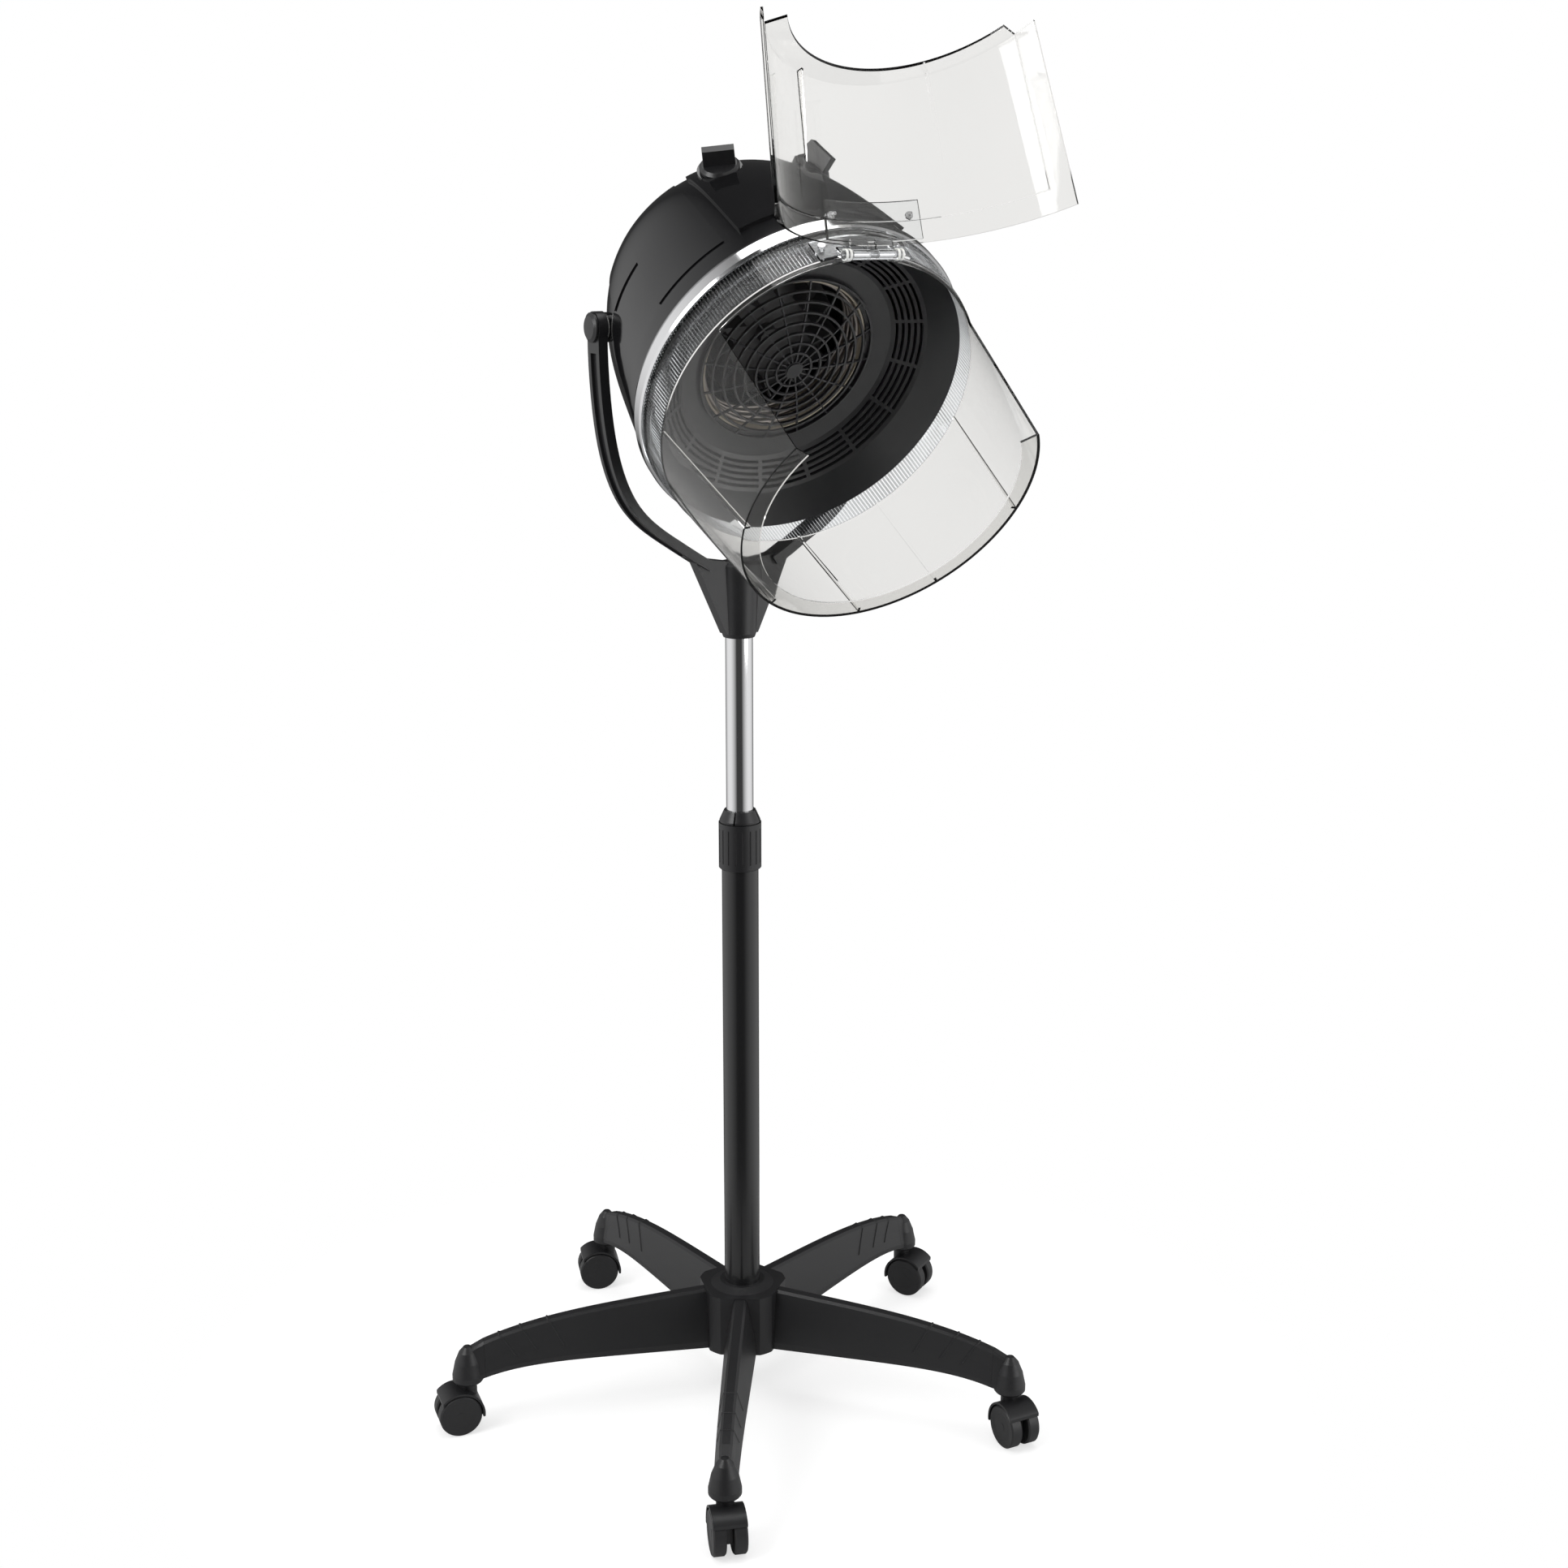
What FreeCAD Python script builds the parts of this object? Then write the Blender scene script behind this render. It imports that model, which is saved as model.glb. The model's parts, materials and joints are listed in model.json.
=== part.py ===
"""Hood hair dryer on a five-legged rolling stand.

Row frame: millimetres, +Z up, the floor at Z = 0, the mast's axis on the Z axis, and the hood facing -Y.
The hood is modelled in its own frame first: its axis is +Z towards the opening, +Y is its top and +X its width.
"""
import FreeCAD
import Part
import math
import os

V = FreeCAD.Vector

# ---- fits and clearances -------------------------------------------------------------------------
RUN = 0.05          # radial running clearance of a shaft in its hole
SEAT = 0.15         # gap between two pieces seated on each other in one body
MOVE = 0.4          # gap between pieces on different bodies

# ---- base ----------------------------------------------------------------------------------------
LEG_COUNT = 5
LEG_TURN = -31.5            # direction of the first leg, degrees from -Y towards +X
TIP_RADIUS = 300.0          # mast axis to caster stem
HUB_APOTHEM = 42.0
HUB_ROUND = 47.0
HUB_BOTTOM = 62.0
HUB_TOP = 128.0
HUB_CROWN = 4.0
LEG_END = 283.0             # where the leg stops and its end cap starts
CAP_FLOOR = 55.0            # underside of the end cap above the floor
CAP_RADIUS = 16.5
CAP_HEIGHT = 40.0
LEG_SCREW_RADIUS = 3.0
LEG_SCREW_HEAD = 5.5

# ---- casters -------------------------------------------------------------------------------------
WHEEL_RADIUS = 22.5
WHEEL_WIDTH = 13.0
WEB_THICKNESS = 7.0
CASTER_TRAIL = 12.0
FENDER_WALL = 2.2
FENDER_GAP = 1.2
STEM_RADIUS = 5.0
STEM_LENGTH = 26.0
AXLE_RADIUS = 3.0
CASTER_HEADINGS = (252.0, 267.5, 301.0, 162.0, 171.0)   # trail direction of each caster, degrees

# ---- mast ----------------------------------------------------------------------------------------
LOWER_TUBE_RADIUS = 19.0
LOWER_TUBE_WALL = 1.5
LOWER_TUBE_FOOT = 70.0
LOWER_TUBE_TOP = 600.0
UPPER_TUBE_RADIUS = 14.0
UPPER_TUBE_WALL = 1.2
UPPER_TUBE_FOOT = 380.0
UPPER_TUBE_TOP = 896.0
COLLAR_FOOT = 596.0
COLLAR_TOP = 645.0
COLLAR_RADIUS = 22.0
COLLAR_FLUTES = 18
COLLET_TOP = 658.0
COLLET_DEPTH = 45.0

# ---- yoke ----------------------------------------------------------------------------------------
PIVOT_Z = 1146.5
YOKE_FOOT = 838.0
SOCKET_RADIUS = 17.5
SADDLE_Z = 915.0
ARM_INNER = 144.5           # pivot plane to the arm's inner face
ARM_THICKNESS = 9.5
ARM_DEPTH = 25.0
ARM_GROOVE_DEPTH = 3.0
ARM_GROOVE_WIDTH = 13.0
PIVOT_PAD_RADIUS = 15.0
PIVOT_BOLT_RADIUS = 5.0

# ---- hood, in its own frame ----------------------------------------------------------------------
HOOD_TILT = 30.5            # the hood's axis below the horizontal
HOOD_LIFT = 24.0            # the hood's axis above the pivot axis
SHELL_WALL = 3.0
SHELL_BACK = -112.0
SHELL_FRONT = 126.0
SHELL_PROFILE = ((-112.0, 0.0), (-107.5, 29.0), (-93.0, 72.0), (-73.0, 102.0), (-45.0, 122.5),
                 (-10.0, 137.0), (40.0, 149.0), (90.0, 157.0), (126.0, 161.0))
RING_RADIUS = 164.5
RING_BACK = 121.0
RING_FRONT = 137.5
COLLAR_RING_FRONT = 172.0
COLLAR_RING_BASE_RADIUS = 161.0
SKIRT_BASE_RADIUS = 158.5
SKIRT_TAPER = 0.1
SKIRT_WALL = 2.4
SKIRT_LIP = 18.0
SKIRT_LENGTH_BELOW = 129.0  # from the skirt's base to its rim at the bottom
RIM_SLOPE = 0.134
NOTCH_HALF_ANGLE = 56.0
NOTCH_SPREAD = 6.0
BOWL_RIM_Z = 149.0
BOWL_WALL = 2.2
GRILLE_RADIUS = 90.0
GRILLE_RINGS = 9
GRILLE_SPOKES = 16
PANEL_PROUD = 4.0
PANEL_HALF_ANGLE = 32.0
PANEL_BACK = -52.0
PANEL_FRONT = 95.0
COVER_PROUD = 1.3
COVER_ANGLES = (38.0, 67.0, 88.0)
COVER_FRONT = 95.0
COVER_STEP = 18.0
COVER_BACK = -60.0
VENT_RADIUS = 42.0
KNOB_ANGLE = 20.3
KNOB_Z = -25.0
KNOB_RADIUS = 19.0
KNOB_SHAFT_RADIUS = 3.0
KNOB_SEAT = 6.2             # underside of the knobs above the dome at their depth
GLAND_BORE = 4.2
GLAND_RADIUS = 8.0
GLAND_LENGTH = 24.0
GLAND_Z = -60.0
GLAND_INNER = 6.0           # how far the gland reaches inside the dome
MOTOR_RADIUS = 31.0
MOTOR_BACK = -35.0
MOTOR_FRONT = 30.0
SHAFT_RADIUS = 4.0
FAN_RADIUS = 68.0
FAN_BACK = 48.0
FAN_FRONT = 74.0
FAN_BLADES = 12
HEATER_RADIUS = 82.0

# ---- visor and hinge, in the hood's frame with the visor closed -----------------------------------
PIN_Y = 163.0
PIN_Z = 181.0
PIN_RADIUS = 2.0
KNUCKLE_RADIUS = 4.5
PIN_HALF_LENGTH = 32.0
VISOR_OPEN = 141.0          # how far the visor stands open at rest
VISOR_BACK = 188.0
VISOR_FRONT = 328.0
VISOR_EDGE_SLOPE = 0.24
VISOR_WALL = 2.4
VISOR_HALF_ANGLE = 60.0
VISOR_FLANGE = 8.0          # how far the flange reaches past the panel, degrees
VISOR_PANEL_STEP = 3.0      # outside of the panel above the skirt's cone
VISOR_FLANGE_STEP = 4.6     # outside of the flange above the skirt's cone
VISOR_LIP = 18.0
LEAF_HALF_WIDTH = 48.0
LEAF_THICKNESS = 3.0
SCREW_SPACING = 40.0


# ---- helpers -------------------------------------------------------------------------------------
def save(shape, name):
    """Write one node."""
    solids = shape.Solids
    if not solids or not shape.isValid():
        print("PROBLEM", name, len(solids), shape.isValid())
    Part.makeCompound(solids).exportStep("parts/" + name + ".step")
    print(name, len(solids), round(sum(s.Volume for s in solids) / 1000.0, 1), "cm3")


def union(shapes):
    """Fuse a list of shapes into one."""
    whole = shapes[0].multiFuse(shapes[1:]) if len(shapes) > 1 else shapes[0]
    return whole.removeSplitter()


def rod(radius, base, direction, length):
    """A cylinder from base along direction."""
    return Part.makeCylinder(radius, length, base, direction)


def tube(inner, outer, z0, z1):
    """A ring about Z."""
    body = rod(outer, V(0, 0, z0), V(0, 0, 1), z1 - z0)
    return body.cut(rod(inner, V(0, 0, z0 - 1), V(0, 0, 1), z1 - z0 + 2))


def box(x0, x1, y0, y1, z0, z1):
    """A block between two corners."""
    return Part.makeBox(x1 - x0, y1 - y0, z1 - z0, V(x0, y0, z0))


def face_of(points):
    """A flat face in the plane X = 0 from (radius, z) points."""
    corners = [V(0, r, z) for r, z in points]
    return Part.Face(Part.makePolygon(corners + corners[:1]))


def sweep_about_z(face, start=0.0, end=360.0):
    """Turn a face of the plane X = 0 about Z, from one angle to another, both from +Y towards +X."""
    face = face.copy()
    face.rotate(V(0, 0, 0), V(0, 0, 1), -start)
    return face.revolve(V(0, 0, 0), V(0, 0, -1), end - start)


def turned(points, start=0.0, end=360.0):
    """A solid of revolution from (radius, z) points."""
    return sweep_about_z(face_of(points), start, end)


def slab(half, z_low, z_high, slope, y_ref):
    """A wide plate between two parallel planes z = z_ref + slope * (y - y_ref)."""
    corners = [V(-half, y_ref - half, z_low - slope * half), V(-half, y_ref + half, z_low + slope * half),
               V(-half, y_ref + half, z_high + slope * half), V(-half, y_ref - half, z_high - slope * half)]
    return Part.Face(Part.makePolygon(corners + corners[:1])).extrude(V(2 * half, 0, 0))


def around(shape, count, first=0.0):
    """Copies of a shape turned about Z, first at the given angle."""
    copies = []
    for k in range(count):
        item = shape.copy()
        item.rotate(V(0, 0, 0), V(0, 0, 1), first + 360.0 / count * k)
        copies.append(item)
    return copies


def mirrored(shape):
    """The shape and its mirror image in X."""
    return [shape, shape.mirror(V(0, 0, 0), V(1, 0, 0))]


# ---- base ----------------------------------------------------------------------------------------
def leg_angle(k):
    """Turn about Z that carries -Y onto leg k."""
    return LEG_TURN + 360.0 / LEG_COUNT * k


def leg_height(r):
    """Top and bottom of a leg at a distance from the mast."""
    share = (r - HUB_APOTHEM) / (LEG_END - HUB_APOTHEM)
    top = HUB_TOP - 1.0 - 11.0 * share - 17.0 * share ** 4
    bottom = HUB_BOTTOM + 1.0 + 11.0 * share - 13.0 * share ** 6
    return top, bottom


def leg_section(r):
    """Cross-section wire of the leg that points along -Y."""
    top, bottom = leg_height(r)
    share = (r - HUB_APOTHEM) / (LEG_END - HUB_APOTHEM)
    foot = 17.0 - 5.0 * share
    crest = 5.5 - 0.5 * share
    height = top - bottom
    half = [(foot, bottom), (foot, bottom + 0.12 * height), (foot * 0.72, bottom + 0.55 * height),
            (crest + 1.5, top - 2.5), (crest - 1.0, top)]
    outline = half + [(-x, z) for x, z in reversed(half)]
    corners = [V(x, -r, z) for x, z in outline]
    return Part.makePolygon(corners + corners[:1])


def make_leg():
    """One tapering leg, pointing along -Y."""
    stations = [HUB_APOTHEM + SEAT, 95.0, 150.0, 205.0, 250.0, LEG_END]
    return Part.makeLoft([leg_section(r) for r in stations], True, False)


def make_end_cap():
    """The teardrop cap on a leg's end, with its blind socket for the caster's stem."""
    top, bottom = leg_height(LEG_END)
    neck = [leg_section(LEG_END + SEAT), ]
    corners = [V(x * 0.9, -TIP_RADIUS, z) for x, z in ((13.0, CAP_FLOOR + 3), (13.0, CAP_FLOOR + 8),
               (10.0, CAP_FLOOR + 20), (6.0, CAP_FLOOR + 33), (4.0, CAP_FLOOR + 36))]
    corners = corners + [V(-p.x, p.y, p.z) for p in reversed(corners)]
    neck.append(Part.makePolygon(corners + corners[:1]))
    arm = Part.makeLoft(neck, True, True)
    profile = ((0, CAP_FLOOR), (CAP_RADIUS - 1.5, CAP_FLOOR), (CAP_RADIUS, CAP_FLOOR + 2), (CAP_RADIUS, CAP_FLOOR + 8),
               (13.5, CAP_FLOOR + 22), (9.0, CAP_FLOOR + 33), (4.0, CAP_FLOOR + 39), (0, CAP_FLOOR + CAP_HEIGHT))
    bell = turned(profile)
    bell.translate(V(0, -TIP_RADIUS, 0))
    socket = rod(STEM_RADIUS + RUN, V(0, -TIP_RADIUS, CAP_FLOOR - 1), V(0, 0, 1), STEM_LENGTH + 2)
    return union([arm, bell]).cut(socket)


def make_hub():
    """Five-sided hub with a blind seat for the lower tube."""
    corner = HUB_APOTHEM / math.cos(math.pi / LEG_COUNT)
    points = []
    for k in range(LEG_COUNT):
        angle = math.radians(LEG_TURN + 360.0 / LEG_COUNT * (k + 0.5))
        points.append(V(corner * math.sin(angle), -corner * math.cos(angle), HUB_BOTTOM))
    prism = Part.Face(Part.makePolygon(points + points[:1])).extrude(V(0, 0, HUB_TOP - HUB_BOTTOM))
    prism = prism.common(rod(HUB_ROUND, V(0, 0, HUB_BOTTOM), V(0, 0, 1), HUB_TOP - HUB_BOTTOM))
    crown = Part.makeCone(HUB_APOTHEM - 8.0, LOWER_TUBE_RADIUS + 5.0, HUB_CROWN, V(0, 0, HUB_TOP))
    seat = rod(LOWER_TUBE_RADIUS + RUN, V(0, 0, LOWER_TUBE_FOOT), V(0, 0, 1), 100)
    body = union([prism, crown]).cut(seat)
    screws = [rod(LEG_SCREW_RADIUS + RUN, V(0, -HUB_APOTHEM - 1, HUB_BOTTOM + 25), V(0, 1, 0), 13)]
    for hole in screws:
        for copy in around(hole, LEG_COUNT, LEG_TURN):
            body = body.cut(copy)
    return body


def make_leg_screw():
    """Socket screw from inside the leg's root into the hub."""
    return rod(LEG_SCREW_RADIUS, V(0, -HUB_APOTHEM + 11, HUB_BOTTOM + 25), V(0, -1, 0), 23)


def build_base():
    """Hub, legs, caps, screws, lower tube and collet."""
    save(make_hub(), "base_hub")
    screw = make_leg_screw()
    screw_hole = rod(LEG_SCREW_RADIUS + RUN, V(0, -HUB_APOTHEM + 1, HUB_BOTTOM + 25), V(0, -1, 0), 14)
    leg = make_leg().cut(screw_hole)
    for k in range(LEG_COUNT):
        item = leg.copy()
        item.rotate(V(0, 0, 0), V(0, 0, 1), leg_angle(k))
        save(item, "leg_%d" % (k + 1))
    save(Part.makeCompound(around(screw, LEG_COUNT, LEG_TURN)), "leg_screws")
    save(Part.makeCompound(around(make_end_cap(), LEG_COUNT, LEG_TURN)), "leg_end_caps")
    save(tube(LOWER_TUBE_RADIUS - LOWER_TUBE_WALL, LOWER_TUBE_RADIUS, LOWER_TUBE_FOOT, LOWER_TUBE_TOP), "lower_tube")
    save(make_collet(), "collet")


def make_collet():
    """Split sleeve: a plug in the lower tube, a threaded neck and a tapered nose round the upper tube."""
    bore = UPPER_TUBE_RADIUS + RUN
    plug = LOWER_TUBE_RADIUS - LOWER_TUBE_WALL - RUN
    nose = COLLAR_TOP + 0.6
    profile = ((bore, LOWER_TUBE_TOP - COLLET_DEPTH), (plug, LOWER_TUBE_TOP - COLLET_DEPTH),
               (plug, LOWER_TUBE_TOP + SEAT), (LOWER_TUBE_RADIUS, LOWER_TUBE_TOP + SEAT),
               (LOWER_TUBE_RADIUS, nose), (COLLAR_RADIUS - 1.0, nose), (COLLAR_RADIUS - 1.0, nose + 2.0),
               (bore + 2.2, COLLET_TOP), (bore, COLLET_TOP))
    slit = box(-0.8, 0.8, bore - 4, 40, LOWER_TUBE_TOP + 10, COLLET_TOP + 1)
    body = turned(profile)
    for copy in around(slit, 4, 45.0):
        body = body.cut(copy)
    return body


# ---- casters -------------------------------------------------------------------------------------
def caster_parts():
    """Body, pins and wheels of one caster, its stem on the Z axis and its wheels trailing along +X."""
    centre = V(CASTER_TRAIL, 0, WHEEL_RADIUS)
    half = WEB_THICKNESS / 2 + MOVE + WHEEL_WIDTH
    inner = WHEEL_RADIUS + FENDER_GAP
    outer = inner + FENDER_WALL
    across = V(0, 1, 0)
    fender = rod(outer, centre - V(0, half, 0), across, 2 * half)
    fender = fender.cut(rod(inner, centre - V(0, half + 1, 0), across, 2 * half + 2))
    fender = fender.common(box(-60, CASTER_TRAIL + 19, -60, 60, WHEEL_RADIUS - 4, 80))
    web = rod(inner + 0.5, centre - V(0, WEB_THICKNESS / 2, 0), across, WEB_THICKNESS)
    web = web.common(box(-60, CASTER_TRAIL + 10, -60, 60, WHEEL_RADIUS - 8, 80))
    neck = rod(9.0, V(0, 0, WHEEL_RADIUS + 14), V(0, 0, 1), CAP_FLOOR - MOVE - WHEEL_RADIUS - 14)
    wheel_room = rod(inner, centre - V(0, half + 1, 0), across, half + 1 - WEB_THICKNESS / 2)
    other_room = rod(inner, centre + V(0, WEB_THICKNESS / 2, 0), across, half + 1)
    neck = neck.cut(wheel_room).cut(other_room)
    stem_hole = rod(STEM_RADIUS, V(0, 0, CAP_FLOOR - 12), V(0, 0, 1), 30)
    axle_hole = rod(AXLE_RADIUS, centre - V(0, 40, 0), across, 80)
    body = union([fender, web, neck]).cut(stem_hole).cut(axle_hole)
    stem = rod(STEM_RADIUS, V(0, 0, CAP_FLOOR - 12), V(0, 0, 1), 12 + STEM_LENGTH)
    axle = rod(AXLE_RADIUS, centre - V(0, half - 2.0, 0), across, 2 * half - 4.0)
    profile = ((AXLE_RADIUS + RUN, 0), (WHEEL_RADIUS - 1.5, 0), (WHEEL_RADIUS, 1.5), (WHEEL_RADIUS, WHEEL_WIDTH - 1.5),
               (WHEEL_RADIUS - 1.5, WHEEL_WIDTH), (14.0, WHEEL_WIDTH - 1.0), (AXLE_RADIUS + RUN, WHEEL_WIDTH - 1.0))
    wheel = turned(profile)
    cap = rod(AXLE_RADIUS + 1, V(0, 0, WHEEL_WIDTH - 1.7), V(0, 0, 1), 0.9)
    wheel = union([wheel, cap])
    wheel.rotate(V(0, 0, 0), V(1, 0, 0), -90)
    wheel.translate(centre + V(0, WEB_THICKNESS / 2 + MOVE, 0))
    other = wheel.mirror(V(0, 0, 0), V(0, 1, 0))
    return body, Part.makeCompound([stem, axle]), Part.makeCompound([wheel, other])


def build_casters():
    """Five casters, each turned to its own heading."""
    body, pins, wheels = caster_parts()
    for k in range(LEG_COUNT):
        angle = math.radians(leg_angle(k))
        place = V(TIP_RADIUS * math.sin(angle), -TIP_RADIUS * math.cos(angle), 0)
        for shape, name in ((body, "caster_body"), (pins, "caster_pins"), (wheels, "caster_wheels")):
            item = shape.copy()
            item.rotate(V(0, 0, 0), V(0, 0, 1), CASTER_HEADINGS[k])
            item.translate(place)
            save(item, "%s_%d" % (name, k + 1))


# ---- mast ----------------------------------------------------------------------------------------
def build_mast():
    """Lock collar, upper tube and its bush."""
    collar = tube(LOWER_TUBE_RADIUS + RUN, COLLAR_RADIUS, COLLAR_FOOT, COLLAR_TOP)
    lower_edge = turned(((COLLAR_RADIUS - 2.0, COLLAR_FOOT - 1), (COLLAR_RADIUS + 2, COLLAR_FOOT - 1),
                         (COLLAR_RADIUS + 2, COLLAR_FOOT + 3)))
    collar = collar.cut(lower_edge)
    flute = rod(1.1, V(0, COLLAR_RADIUS + 0.4, COLLAR_FOOT + 7), V(0, 0, 1), 36)
    for copy in around(flute, COLLAR_FLUTES):
        collar = collar.cut(copy)
    save(collar, "lock_collar")
    save(tube(UPPER_TUBE_RADIUS - UPPER_TUBE_WALL, UPPER_TUBE_RADIUS, UPPER_TUBE_FOOT, UPPER_TUBE_TOP), "upper_tube")
    bush_radius = LOWER_TUBE_RADIUS - LOWER_TUBE_WALL - RUN
    save(tube(UPPER_TUBE_RADIUS, bush_radius, UPPER_TUBE_FOOT, UPPER_TUBE_FOOT + 22), "glide_bush")


# ---- yoke ----------------------------------------------------------------------------------------
def arm_path():
    """Centre line of the right arm as (x, z), from the saddle up to the pivot."""
    x = ARM_INNER + ARM_THICKNESS / 2
    return ((34.0, SADDLE_Z - 3), (62.0, SADDLE_Z + 14), (86.0, SADDLE_Z + 30), (109.0, SADDLE_Z + 49),
            (128.0, SADDLE_Z + 77), (x - 8.5, SADDLE_Z + 117), (x - 2.0, SADDLE_Z + 165), (x, PIVOT_Z - 30), (x, PIVOT_Z))


def arm_loft(offset, thickness, depth):
    """A rectangular section carried along the arm's centre line, moved sideways by offset."""
    path = arm_path()
    wires = []
    for k, (x, z) in enumerate(path):
        x0, z0 = path[max(k - 1, 0)]
        x1, z1 = path[min(k + 1, len(path) - 1)]
        length = math.hypot(x1 - x0, z1 - z0)
        nx, nz = (z1 - z0) / length, -(x1 - x0) / length
        cx, cz = x + nx * offset, z + nz * offset
        a = V(cx - nx * thickness / 2, -depth / 2, cz - nz * thickness / 2)
        b = V(cx + nx * thickness / 2, -depth / 2, cz + nz * thickness / 2)
        c = V(b.x, depth / 2, b.z)
        d = V(a.x, depth / 2, a.z)
        wires.append(Part.makePolygon([a, b, c, d, a]))
    return Part.makeLoft(wires, True, False)


def make_yoke():
    """Socket, saddle and two grooved arms in one moulding."""
    arm = arm_loft(0.0, ARM_THICKNESS, ARM_DEPTH)
    groove = arm_loft(ARM_THICKNESS / 2, 2 * ARM_GROOVE_DEPTH, ARM_GROOVE_WIDTH)
    groove = groove.common(box(60, 200, -50, 50, SADDLE_Z, PIVOT_Z - 24))
    arm = arm.cut(groove)
    pad = rod(PIVOT_PAD_RADIUS, V(ARM_INNER, 0, PIVOT_Z), V(1, 0, 0), ARM_THICKNESS)
    flare = Part.Face(Part.makePolygon([V(0, -8, YOKE_FOOT + 4), V(SOCKET_RADIUS, -8, YOKE_FOOT + 4),
                                        V(52, -8, SADDLE_Z + 3), V(36, -8, SADDLE_Z + 4), V(0, -8, SADDLE_Z - 2),
                                        V(0, -8, YOKE_FOOT + 4)])).extrude(V(0, 16, 0))
    side = union([arm, pad, flare])
    socket = turned(((0, YOKE_FOOT), (SOCKET_RADIUS - 1.5, YOKE_FOOT), (SOCKET_RADIUS, YOKE_FOOT + 4),
                     (SOCKET_RADIUS + 3.0, SADDLE_Z - 4), (SOCKET_RADIUS + 1.0, SADDLE_Z - 1), (0, SADDLE_Z - 1)))
    body = union([socket] + mirrored(side))
    body = body.cut(rod(UPPER_TUBE_RADIUS + RUN, V(0, 0, YOKE_FOOT - 1), V(0, 0, 1), UPPER_TUBE_TOP + MOVE - YOKE_FOOT + 1))
    bolt_hole = rod(PIVOT_BOLT_RADIUS + RUN, V(-300, 0, PIVOT_Z), V(1, 0, 0), 600)
    return body.cut(bolt_hole)


def build_yoke():
    """Yoke, its outer caps, and the washers between arm and hood."""
    save(make_yoke(), "yoke")
    outer = ARM_INNER + ARM_THICKNESS
    cap = turned(((0, 0), (PIVOT_PAD_RADIUS - 1, 0), (PIVOT_PAD_RADIUS - 1, 2.0), (PIVOT_PAD_RADIUS - 4, 4.0), (0, 4.4)))
    cap.rotate(V(0, 0, 0), V(0, 1, 0), 90)
    cap.translate(V(outer + 0.6, 0, PIVOT_Z))
    save(Part.makeCompound(mirrored(cap)), "pivot_caps")


# ---- hood ----------------------------------------------------------------------------------------
def hood_placement():
    """Where the hood's own frame sits in the row frame."""
    turn = FreeCAD.Rotation(V(1, 0, 0), 90.0 + HOOD_TILT)
    return FreeCAD.Placement(V(0, 0, PIVOT_Z) + turn.multVec(V(0, HOOD_LIFT, 0)), turn)


def save_hood(shape, name):
    """Write one node that was built in the hood's frame."""
    save(shape.transformed(hood_placement().toMatrix()), name)


def shell_radius(z):
    """Outer radius of the dome at a depth."""
    for (z0, r0), (z1, r1) in zip(SHELL_PROFILE, SHELL_PROFILE[1:]):
        if z <= z1:
            return r0 + (r1 - r0) * (z - z0) / (z1 - z0)
    return SHELL_PROFILE[-1][1]


def dome_curve(offset):
    """The dome's outline, moved inwards by a negative offset, as a smooth curve in the plane X = 0."""
    points = []
    for k, (z, r) in enumerate(SHELL_PROFILE):
        z0, r0 = SHELL_PROFILE[max(k - 1, 0)]
        z1, r1 = SHELL_PROFILE[min(k + 1, len(SHELL_PROFILE) - 1)]
        if k == 0:
            points.append(V(0, 0, z - offset))
            continue
        length = math.hypot(z1 - z0, r1 - r0)
        points.append(V(0, r + offset * (z1 - z0) / length, z - offset * (r1 - r0) / length))
    curve = Part.BSplineCurve()
    curve.interpolate(Points=points, InitialTangent=V(0, 1, 0), FinalTangent=V(0, 0.08, 1))
    return curve


def dome_band(low, high, back, front, start, end):
    """A curved plate that follows the dome, from one offset to another."""
    inner = dome_curve(low)
    outer = dome_curve(high)
    a, b = inner.toShape(), outer.toShape()
    strip = Part.Face(Part.Wire([a, Part.makeLine(a.Vertexes[-1].Point, b.Vertexes[-1].Point), b,
                                 Part.makeLine(b.Vertexes[0].Point, a.Vertexes[0].Point)]))
    cut = strip.common(Part.Face(Part.makePolygon([V(0, 1, back), V(0, 300, back), V(0, 300, front), V(0, 1, front),
                                                   V(0, 1, back)])))
    return sweep_about_z(cut.Faces[0], start, end)


def make_shell():
    """The dome with its pivot bosses and its holes."""
    inner = dome_curve(-SHELL_WALL).toShape()
    outer = dome_curve(0.0).toShape()
    lip = Part.makeLine(inner.Vertexes[-1].Point, outer.Vertexes[-1].Point)
    root = Part.makeLine(outer.Vertexes[0].Point, inner.Vertexes[0].Point)
    section = Part.Face(Part.Wire([inner, lip, outer, root]))
    dome = sweep_about_z(section)
    boss = rod(PIVOT_PAD_RADIUS - 1, V(126, -HOOD_LIFT, 0), V(1, 0, 0), ARM_INNER - 1.6 - 126)
    dome = union([dome] + mirrored(boss))
    dome = dome.cut(rod(PIVOT_BOLT_RADIUS, V(-300, -HOOD_LIFT, 0), V(1, 0, 0), 600))
    dome = dome.cut(rod(VENT_RADIUS - 4, V(0, 0, SHELL_BACK - 20), V(0, 0, 1), 60))
    dome = dome.cut(rod(GLAND_RADIUS + RUN, V(0, 0, GLAND_Z), V(0, -1, 0), 200))
    for side in (-1, 1):
        dome = dome.cut(rod(KNOB_SHAFT_RADIUS + 1, V(0, 0, KNOB_Z), knob_axis(side), 200))
        dome = dome.cut(knob_pocket(side))
    return dome


def dome_solid(offset):
    """The space inside the dome's surface, as one solid."""
    curve = dome_curve(offset).toShape()
    end = curve.Vertexes[-1].Point
    back = V(0, 0, curve.Vertexes[0].Point.z)
    outline = [curve, Part.makeLine(end, V(0, 0, end.z)), Part.makeLine(V(0, 0, end.z), back)]
    return sweep_about_z(Part.Face(Part.Wire(outline)))


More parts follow.
